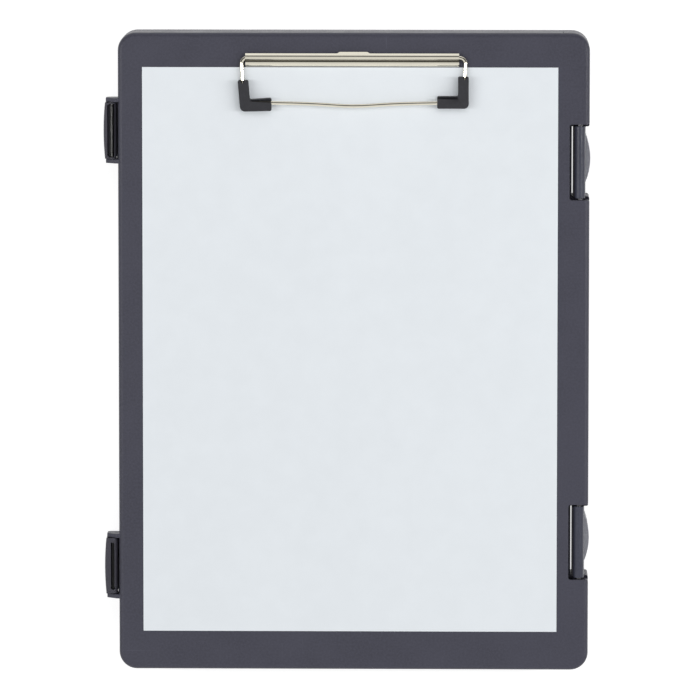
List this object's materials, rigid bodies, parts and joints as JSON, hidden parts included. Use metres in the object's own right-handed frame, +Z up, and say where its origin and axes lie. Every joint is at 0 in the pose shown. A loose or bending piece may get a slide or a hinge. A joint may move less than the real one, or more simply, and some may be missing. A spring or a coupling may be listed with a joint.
{
  "type": "storage clipboard box",
  "caption": "Writing board hinged as the lid of a shallow tray, with a spring wire clip and side latches.",
  "frame": {"origin": "centre of the tray's underside, under the middle of the closed box", "axes": "+X towards the hinges, +Y along the box towards the clip, +Z up through the lid"},
  "size_m": [0.252, 0.332, 0.0356],
  "materials": {
    "tray_plastic": "fine moulded texture, charcoal grey",
    "lid_plastic": "fine moulded texture, charcoal grey",
    "latch_plastic": "smooth moulded charcoal grey",
    "pin_steel": "drawn steel",
    "clip_nickel": "bright nickel plate, slightly warm",
    "grip_rubber": "matte moulded rubber",
    "sheet_paper": "plain uncoated writing paper"
  },
  "bodies": {
    "base": {"base_tray": "tray_plastic", "hinge_pin_upper": "pin_steel", "hinge_pin_lower": "pin_steel"},
    "lid": {"lid_shell": "lid_plastic", "latch_rod_upper": "pin_steel", "latch_rod_lower": "pin_steel", "clip_channel": "clip_nickel", "clip_rivet_left": "pin_steel", "clip_rivet_right": "pin_steel", "rivet_washer_left": "pin_steel", "rivet_washer_right": "pin_steel"},
    "latch_upper": {"latch_upper": "latch_plastic"},
    "latch_lower": {"latch_lower": "latch_plastic"},
    "bail": {"clip_bail": "clip_nickel", "bail_grip_left": "grip_rubber", "bail_grip_right": "grip_rubber"},
    "sheet": {"paper_sheet": "sheet_paper"}
  },
  "joints": [
    {"name": "lid_hinge", "type": "hinge", "parent": "base", "child": "lid", "pos_m": [0.117, 0, 0.0268], "axis": [0, 1, 0], "range_deg": [0, 180]},
    {"name": "latch_upper_pivot", "type": "hinge", "parent": "lid", "child": "latch_upper", "pos_m": [-0.1254, 0.115, 0.025], "axis": [0, 1, 0], "range_deg": [0, 100]},
    {"name": "latch_lower_pivot", "type": "hinge", "parent": "lid", "child": "latch_lower", "pos_m": [-0.1254, -0.1122, 0.025], "axis": [0, 1, 0], "range_deg": [0, 100]},
    {"name": "bail_pivot", "type": "hinge", "parent": "lid", "child": "bail", "pos_m": [0, 0.1533, 0.03185], "axis": [-1, 0, 0], "range_deg": [0, 100], "stiffness_Nm_per_rad": 0.1, "springref_deg": -28.65},
    {"name": "sheet_slide", "type": "slide", "parent": "lid", "child": "sheet", "axis": [0, -1, 0], "range_m": [0, 0.29]}
  ]
}
